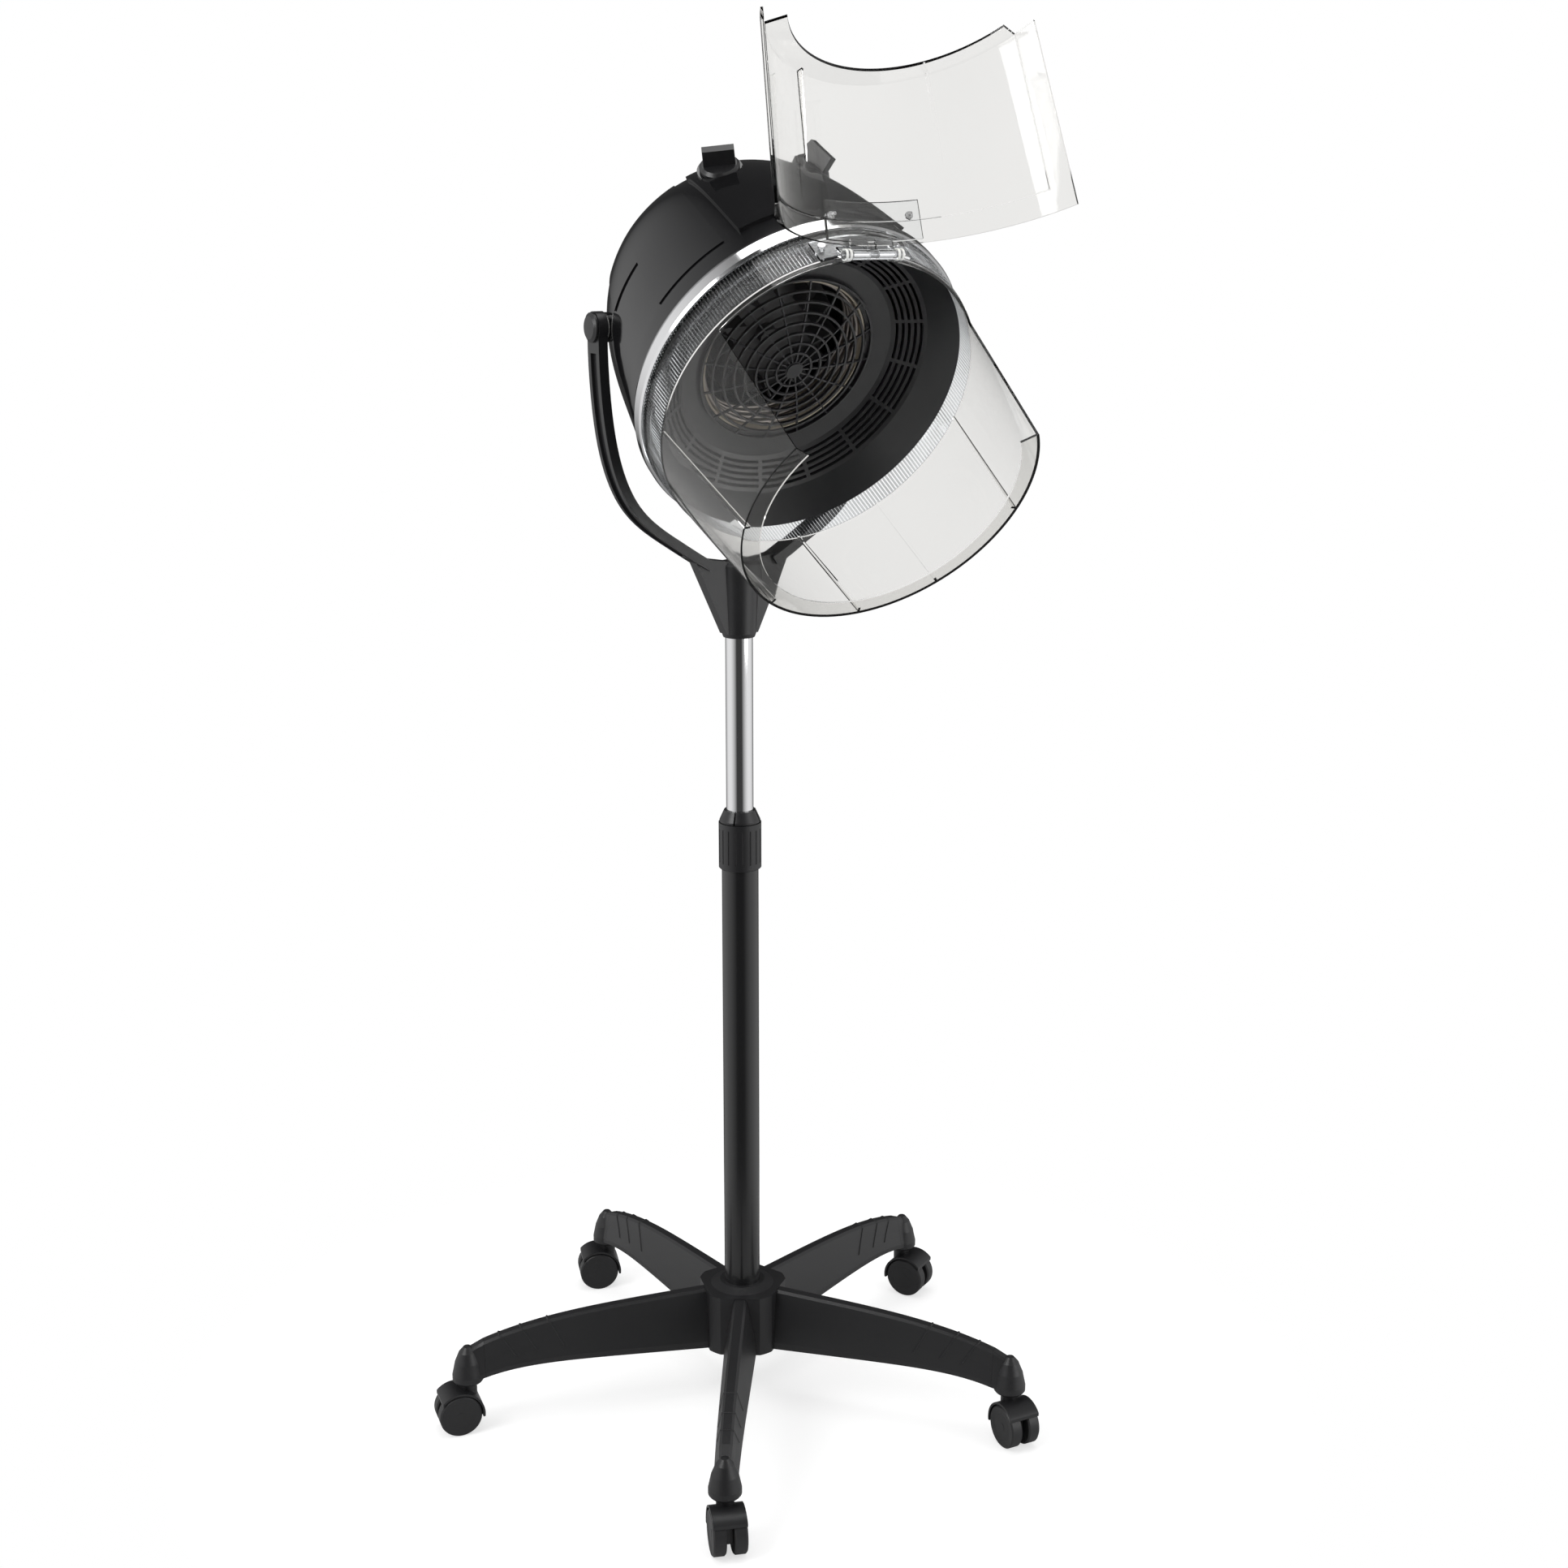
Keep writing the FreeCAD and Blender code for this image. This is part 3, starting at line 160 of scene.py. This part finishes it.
# %% [markdown]
# ## Finishes
# A single flat colour looks like a drawing, and a picture of plastic would stretch on the
# curves. So each finish is a small node tree that needs no unwrapping. Fine noise bends the
# normal, as a moulded or sprayed skin does, and a broader noise moves the roughness and the
# colour a little, as handling does. Lengths are in metres, so a noise scale of 900 puts the
# grain about a millimetre apart.

# %% A helper for surfaces
DRIFT_SCALE = 9.0
GRAIN_DEPTH = 0.0006
COAT_ROUGHNESS = 0.04


def surface(
    name, colour, rough, metal=0.0, grain=900.0, bump=0.03, spread=0.06, coat=0.0, specular=0.5, tint=0.25
):
    """Opaque finish: grain in the normal, a slow drift in roughness and colour."""
    material = bpy.data.materials.new(name)
    material.use_nodes = True
    tree = material.node_tree
    shader = tree.nodes["Principled BSDF"]
    shader.inputs["Metallic"].default_value = metal
    shader.inputs["Specular IOR Level"].default_value = specular
    shader.inputs["Coat Weight"].default_value = coat
    shader.inputs["Coat Roughness"].default_value = COAT_ROUGHNESS
    coord = tree.nodes.new("ShaderNodeTexCoord")
    fine = tree.nodes.new("ShaderNodeTexNoise")
    fine.inputs["Scale"].default_value = grain
    fine.inputs["Detail"].default_value = 3.0
    slow = tree.nodes.new("ShaderNodeTexNoise")
    slow.inputs["Scale"].default_value = DRIFT_SCALE
    slow.inputs["Detail"].default_value = 6.0
    relief = tree.nodes.new("ShaderNodeBump")
    relief.inputs["Strength"].default_value = bump
    relief.inputs["Distance"].default_value = GRAIN_DEPTH
    drift = tree.nodes.new("ShaderNodeMapRange")
    drift.inputs["To Min"].default_value = max(rough - spread, 0.02)
    drift.inputs["To Max"].default_value = rough + spread
    shade = tree.nodes.new("ShaderNodeMix")
    shade.data_type = "RGBA"
    shade.inputs[6].default_value = (*colour, 1)
    lift = 0.002 if metal < 0.5 else 0.0
    shade.inputs[7].default_value = (*[min(c * (1 + tint) + lift, 1) for c in colour], 1)
    link = tree.links.new
    link(coord.outputs["Object"], fine.inputs["Vector"])
    link(coord.outputs["Object"], slow.inputs["Vector"])
    link(fine.outputs["Fac"], relief.inputs["Height"])
    link(relief.outputs["Normal"], shader.inputs["Normal"])
    link(slow.outputs["Fac"], drift.inputs["Value"])
    link(drift.outputs["Result"], shader.inputs["Roughness"])
    link(slow.outputs["Fac"], shade.inputs[0])
    link(shade.outputs[2], shader.inputs["Base Color"])
    return material


# %% [markdown]
# The skirt, the visor, the collar and the hinge are clear. Simple transparency would lose the
# bright bent edges, so they are made as real walls that refract. Light is tinted at each face,
# and shadow rays go through a plain transparent shader, so the bowl behind stays lit. A faint
# noise in the normal gives the slow ripple of a moulded sheet.

# %% A helper for clear plastic
CLEAR_IOR = 1.3
RIPPLE_SCALE = 14.0
RIPPLE_DEPTH = 0.002


def clear_sheet(name, colour, rough=0.03, ripple=0.02):
    """Transparent moulded plastic."""
    material = bpy.data.materials.new(name)
    material.use_nodes = True
    tree = material.node_tree
    shader = tree.nodes["Principled BSDF"]
    output = tree.nodes["Material Output"]
    shader.inputs["Transmission Weight"].default_value = 1.0
    shader.inputs["IOR"].default_value = CLEAR_IOR
    coord = tree.nodes.new("ShaderNodeTexCoord")
    slow = tree.nodes.new("ShaderNodeTexNoise")
    slow.inputs["Scale"].default_value = RIPPLE_SCALE
    relief = tree.nodes.new("ShaderNodeBump")
    relief.inputs["Strength"].default_value = ripple
    relief.inputs["Distance"].default_value = RIPPLE_DEPTH
    drift = tree.nodes.new("ShaderNodeMapRange")
    drift.inputs["To Min"].default_value = rough * 0.6
    drift.inputs["To Max"].default_value = rough * 1.6
    shade = tree.nodes.new("ShaderNodeMix")
    shade.data_type = "RGBA"
    shade.inputs[6].default_value = (*colour, 1)
    shade.inputs[7].default_value = (*[c * 0.97 for c in colour], 1)
    path = tree.nodes.new("ShaderNodeLightPath")
    through = tree.nodes.new("ShaderNodeBsdfTransparent")
    through.inputs["Color"].default_value = (*colour, 1)
    mix = tree.nodes.new("ShaderNodeMixShader")
    link = tree.links.new
    link(coord.outputs["Object"], slow.inputs["Vector"])
    link(slow.outputs["Fac"], relief.inputs["Height"])
    link(relief.outputs["Normal"], shader.inputs["Normal"])
    link(slow.outputs["Fac"], drift.inputs["Value"])
    link(drift.outputs["Result"], shader.inputs["Roughness"])
    link(slow.outputs["Fac"], shade.inputs[0])
    link(shade.outputs[2], shader.inputs["Base Color"])
    link(path.outputs["Is Shadow Ray"], mix.inputs[0])
    link(shader.outputs[0], mix.inputs[1])
    link(through.outputs[0], mix.inputs[2])
    link(mix.outputs[0], output.inputs["Surface"])
    return material


# %% [markdown]
# ## One finish for each material of the stand
# The base, the yoke and the knobs are textured black plastic, the dome is gloss black, and
# the tubes are painted below and chromed above. Each node of the frame names its material
# slot, so one loop paints all of them.

# %% The finishes by slot
finishes = {
    "base_plastic": surface("base_plastic", (0.012, 0.012, 0.013), 0.42, bump=0.12, grain=1300),
    "caster_plastic": surface("caster_plastic", (0.012, 0.012, 0.013), 0.36, bump=0.08, grain=1500),
    "wheel_plastic": surface("wheel_plastic", (0.013, 0.013, 0.014), 0.45, bump=0.08, grain=1500),
    "collar_plastic": surface("collar_plastic", (0.010, 0.010, 0.011), 0.35, bump=0.08, grain=1500),
    "yoke_plastic": surface("yoke_plastic", (0.010, 0.010, 0.011), 0.36, bump=0.08, grain=1500),
    "knob_plastic": surface("knob_plastic", (0.010, 0.010, 0.011), 0.32, bump=0.08, grain=1500),
    "bowl_plastic": surface("bowl_plastic", (0.009, 0.009, 0.010), 0.38, bump=0.06, grain=1200),
    "fan_plastic": surface("fan_plastic", (0.03, 0.03, 0.03), 0.5, bump=0.08),
    "gloss_black": surface(
        "gloss_black", (0.004, 0.004, 0.0045), 0.10, bump=0.015, grain=260, spread=0.03, coat=0.4, specular=0.4
    ),
    "painted_tube": surface(
        "painted_tube", (0.007, 0.007, 0.0075), 0.24, bump=0.05, grain=2200, spread=0.04, coat=0.3
    ),
    "chrome_tube": surface(
        "chrome_tube", (0.78, 0.78, 0.79), 0.07, metal=1.0, bump=0.01, grain=700, spread=0.02, tint=0.05
    ),
    "chrome_trim": surface(
        "chrome_trim", (0.78, 0.78, 0.79), 0.10, metal=1.0, bump=0.01, grain=500, spread=0.03, tint=0.05
    ),
    "steel": surface("steel", (0.55, 0.55, 0.56), 0.25, metal=1.0, bump=0.04, grain=1800),
    "steel_sheet": surface("steel_sheet", (0.5, 0.5, 0.51), 0.35, metal=1.0, bump=0.04, grain=1200),
    "motor_metal": surface("motor_metal", (0.5, 0.5, 0.5), 0.4, metal=1.0, bump=0.05),
    "heater_wire": surface("heater_wire", (0.35, 0.32, 0.30), 0.4, metal=1.0, bump=0.05),
    "mica": surface("mica", (0.45, 0.40, 0.32), 0.6, bump=0.1),
    "bush_plastic": surface("bush_plastic", (0.72, 0.72, 0.70), 0.35, bump=0.04),
    "smoke_plastic": clear_sheet("smoke_plastic", (0.85, 0.845, 0.83)),
    "clear_plastic": clear_sheet("clear_plastic", (0.93, 0.94, 0.945)),
}
slot_of = {part["node"]: part["material_slot"] for part in frame["record"]["subparts"]}
for name, item in nodes.items():
    item.data.materials.clear()
    item.data.materials.append(finishes[slot_of[name]])
print("finishes:", len(finishes))

# %% [markdown]
# ## Smooth skins, crisp edges
# The meshes come as facets. Smooth shading joins them, except across edges sharper than
# thirty degrees, which stay crisp as a mould's parting edges do.

# %% Shade the frame's meshes
CRISP = math.radians(30.0)
for item in nodes.values():
    item.data.polygons.foreach_set("use_smooth", [True] * len(item.data.polygons))
    item.data.set_sharp_from_angle(angle=CRISP)
    item.data.update()
print("shaded", len(nodes), "meshes")


# %% [markdown]
# ## The hood's own frame
# The fine detail of the hood follows its tilted axis. The fan turns about that axis, so its
# joint gives the direction and the place, and the tilt joint gives the width direction.

# %% Hood axes
AXIS = Vector(joints["fan_spin"]["axis"]).normalized()
ACROSS = Vector(joints["hood_tilt"]["axis"]).normalized()
UP = AXIS.cross(ACROSS).normalized()
FAN_DEPTH = 0.060
HOOD_ORIGIN = Vector(joints["fan_spin"]["pos_m"]) - AXIS * FAN_DEPTH


def on_hood(radius, angle, depth):
    """A point at a radius, an angle from the top towards +X, and a depth along the hood's axis."""
    return HOOD_ORIGIN + AXIS * depth + ACROSS * (radius * math.sin(angle)) + UP * (radius * math.cos(angle))


def new_piece(name, mesh_maker, body, slot_name):
    """Make a mesh piece, give it its finish and let it ride on a body."""
    shape = bmesh.new()
    mesh_maker(shape)
    bmesh.ops.recalc_face_normals(shape, faces=shape.faces)
    mesh = bpy.data.meshes.new(name)
    shape.to_mesh(mesh)
    shape.free()
    piece = bpy.data.objects.new(name, mesh)
    scene.collection.objects.link(piece)
    mesh.materials.append(finishes[slot_name])
    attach(piece, body)
    print(name, "faces:", len(mesh.polygons))
    return piece


def bar(shape, low, high):
    """A closed bar between two quads of four corners each."""
    a = [shape.verts.new(p) for p in low]
    b = [shape.verts.new(p) for p in high]
    shape.faces.new(a)
    shape.faces.new(b[::-1])
    for k in range(4):
        shape.faces.new((a[k], b[k], b[(k + 1) % 4], a[(k + 1) % 4]))


# %% [markdown]
# ## Ribs on the clear collar
# The clear band between the bright ring and the skirt is moulded with fine ribs along the
# axis. A bumpy material would leave the band's outline smooth, so each rib is a thin bar on
# the band's outside, and a loop sets them about three millimetres apart, all the way round
# but for the place where the hinge leaf lies.

# %% Collar ribs
RIB_COUNT = 300
RIB_HEIGHT = 0.0006
RIB_SINK = 0.0002
RIB_SHARE = 0.45
RIB_CREST = 0.4
RIB_BACK, RIB_FRONT = 0.1385, 0.1715
BAND_BACK_RADIUS, BAND_FRONT_RADIUS = 0.1608, 0.1586
LEAF_HALF_ANGLE = math.radians(18.0)


def collar_ribs(shape):
    """Fine bars round the collar, left out under the hinge leaf."""
    half = math.pi / RIB_COUNT * RIB_SHARE
    for k in range(RIB_COUNT):
        angle = 2 * math.pi * k / RIB_COUNT
        if abs(math.remainder(angle, 2 * math.pi)) < LEAF_HALF_ANGLE:
            continue
        ends = []
        for depth, radius in ((RIB_BACK, BAND_BACK_RADIUS), (RIB_FRONT, BAND_FRONT_RADIUS)):
            low, high = radius - RIB_SINK, radius + RIB_HEIGHT
            crest = half * RIB_CREST
            ends.append(
                [
                    on_hood(low, angle - half, depth),
                    on_hood(high, angle - crest, depth),
                    on_hood(high, angle + crest, depth),
                    on_hood(low, angle + half, depth),
                ]
            )
        bar(shape, *ends)


new_piece("collar_ribs", collar_ribs, "hood", "clear_plastic")

# %% [markdown]
# ## Scales on the legs
# Three low ridges cross each leg near its tip, like overlapping scales. They could be carved
# from a denser leg, but the frame's meshes stay as they are, so each ridge is a thin band of
# its own. It is bent over the leg's crest and follows the leg's section down both flanks.

# %% Leg scales
LEG_COUNT = 5
LEG_TURN = math.radians(-31.5)
LEG_ROOT, LEG_TIP = 0.042, 0.283
SCALE_PLACES = (0.214, 0.243, 0.266)
SCALE_SWEEP = (0.016, 0.011, 0.002, 0.0)
SCALE_LIFT = 0.0007
SCALE_HALF_WIDTH = 0.0012


def leg_outline(distance):
    """Half of the leg's section at a distance from the mast: (side, height) from flank to crest."""
    share = (distance - LEG_ROOT) / (LEG_TIP - LEG_ROOT)
    top = 0.127 - 0.011 * share - 0.017 * share ** 4
    bottom = 0.063 + 0.011 * share - 0.013 * share ** 6
    foot = 0.017 - 0.005 * share
    crest = 0.0055 - 0.0005 * share
    height = top - bottom
    return [(foot * 0.86, bottom + 0.34 * height), (foot * 0.72, bottom + 0.55 * height),
            (crest + 0.0015, top - 0.0025), (crest - 0.001, top)]


def leg_scales(shape):
    """Ridges that sweep back from the crest down both flanks."""
    for leg in range(LEG_COUNT):
        turn = LEG_TURN + 2 * math.pi / LEG_COUNT * leg
        out = Vector((math.sin(turn), -math.cos(turn), 0))
        side = Vector((math.cos(turn), math.sin(turn), 0))
        for place in SCALE_PLACES:
            for sign in (-1, 1):
                line = []
                for step, back in enumerate(SCALE_SWEEP):
                    x, z = leg_outline(place - back)[step]
                    line.append((out * (place - back), side * (sign * x), z))
                line.append((out * place, side * 0.0, line[-1][2]))
                for (o0, s0, z0), (o1, s1, z1) in zip(line, line[1:]):
                    quads = []
                    for o, s, z in ((o0, s0, z0), (o1, s1, z1)):
                        base = o + s + Vector((0, 0, z))
                        lift = side * (sign * SCALE_LIFT) + Vector((0, 0, SCALE_LIFT))
                        quads.append(
                            [
                                base - out * SCALE_HALF_WIDTH,
                                base - out * 0.0002 + lift,
                                base + out * 0.0004 + lift,
                                base + out * SCALE_HALF_WIDTH,
                            ]
                        )
                    bar(shape, *quads)


new_piece("leg_scales", leg_scales, "base", "base_plastic")

# %% [markdown]
# ## White bushes on the hinge pin
# The clear hinge shows its metal pin, and pale bushes stand between its barrels, two near
# each end. A ring is a small closed tube: four circles joined by faces, two for the inside
# and two for the outside. Making it point by point keeps it exactly on the pin's axis.

# %% Hinge bushes
PIN_POINT = Vector(joints["visor_hinge"]["pos_m"])
BUSH_INNER, BUSH_OUTER = 0.00455, 0.0053
BUSH_HALF_LENGTH = 0.001
BUSH_SIDES = 32
BUSH_PLACES = (-0.0285, -0.0245, 0.0245, 0.0285)


def hinge_bushes(shape):
    """Four thin rings round the barrels."""
    for place in BUSH_PLACES:
        near, far = place - BUSH_HALF_LENGTH, place + BUSH_HALF_LENGTH
        rings = []
        for x, radius in ((near, BUSH_INNER), (near, BUSH_OUTER), (far, BUSH_OUTER), (far, BUSH_INNER)):
            ring = []
            for k in range(BUSH_SIDES):
                angle = 2 * math.pi * k / BUSH_SIDES
                round_pin = UP * (radius * math.cos(angle)) + AXIS * (radius * math.sin(angle))
                ring.append(shape.verts.new(PIN_POINT + ACROSS * x + round_pin))
            rings.append(ring)
        for i in range(4):
            a, b = rings[i], rings[(i + 1) % 4]
            for k in range(BUSH_SIDES):
                n = (k + 1) % BUSH_SIDES
                shape.faces.new((a[k], a[n], b[n], b[k]))


new_piece("hinge_bushes", hinge_bushes, "hood", "bush_plastic")

# %% [markdown]
# ## The floor
# The floor is white and keeps only the object's soft shadow. A plain white floor would show a
# grey horizon where it meets the world. So this one glows a little for the camera, which makes
# it as white as the world behind, and it fades to clear away from the stand.

# %% Floor
FLOOR_REACH = 2.0
FLOOR_DROP = 0.0002
FLOOR_GREY = (0.5, 0.5, 0.5, 1)
FLOOR_GLOW = 0.62
FADE_START, FADE_END = 0.36, 0.62
floor_mesh = bpy.data.meshes.new("floor")
corners = [(x * FLOOR_REACH, y * FLOOR_REACH, 0) for x, y in ((-1, -1), (1, -1), (1, 1), (-1, 1))]
floor_mesh.from_pydata(corners, [], [(0, 1, 2, 3)])
floor = bpy.data.objects.new("floor", floor_mesh)
floor.location = (0, 0, -FLOOR_DROP)
scene.collection.objects.link(floor)
floor_material = bpy.data.materials.new("floor")
floor_material.use_nodes = True
ft = floor_material.node_tree
ft.nodes.clear()
f_out = ft.nodes.new("ShaderNodeOutputMaterial")
f_diffuse = ft.nodes.new("ShaderNodeBsdfDiffuse")
f_diffuse.inputs["Color"].default_value = FLOOR_GREY
f_glow = ft.nodes.new("ShaderNodeEmission")
f_path = ft.nodes.new("ShaderNodeLightPath")
f_level = ft.nodes.new("ShaderNodeMath")
f_level.operation = "MULTIPLY"
f_level.inputs[1].default_value = FLOOR_GLOW
f_add = ft.nodes.new("ShaderNodeAddShader")
f_clear = ft.nodes.new("ShaderNodeBsdfTransparent")
f_mix = ft.nodes.new("ShaderNodeMixShader")
f_coord = ft.nodes.new("ShaderNodeTexCoord")
f_length = ft.nodes.new("ShaderNodeVectorMath")
f_length.operation = "LENGTH"
f_fade = ft.nodes.new("ShaderNodeMapRange")
f_fade.inputs["From Min"].default_value = FADE_START
f_fade.inputs["From Max"].default_value = FADE_END
ft.links.new(f_path.outputs["Is Camera Ray"], f_level.inputs[0])
ft.links.new(f_level.outputs[0], f_glow.inputs["Strength"])
ft.links.new(f_diffuse.outputs[0], f_add.inputs[0])
ft.links.new(f_glow.outputs[0], f_add.inputs[1])
ft.links.new(f_coord.outputs["Object"], f_length.inputs[0])
ft.links.new(f_length.outputs["Value"], f_fade.inputs["Value"])
ft.links.new(f_fade.outputs["Result"], f_mix.inputs[0])
ft.links.new(f_add.outputs[0], f_mix.inputs[1])
ft.links.new(f_clear.outputs[0], f_mix.inputs[2])
ft.links.new(f_mix.outputs[0], f_out.inputs["Surface"])
floor_mesh.materials.append(floor_material)
print("floor reaches", FLOOR_REACH, "m")
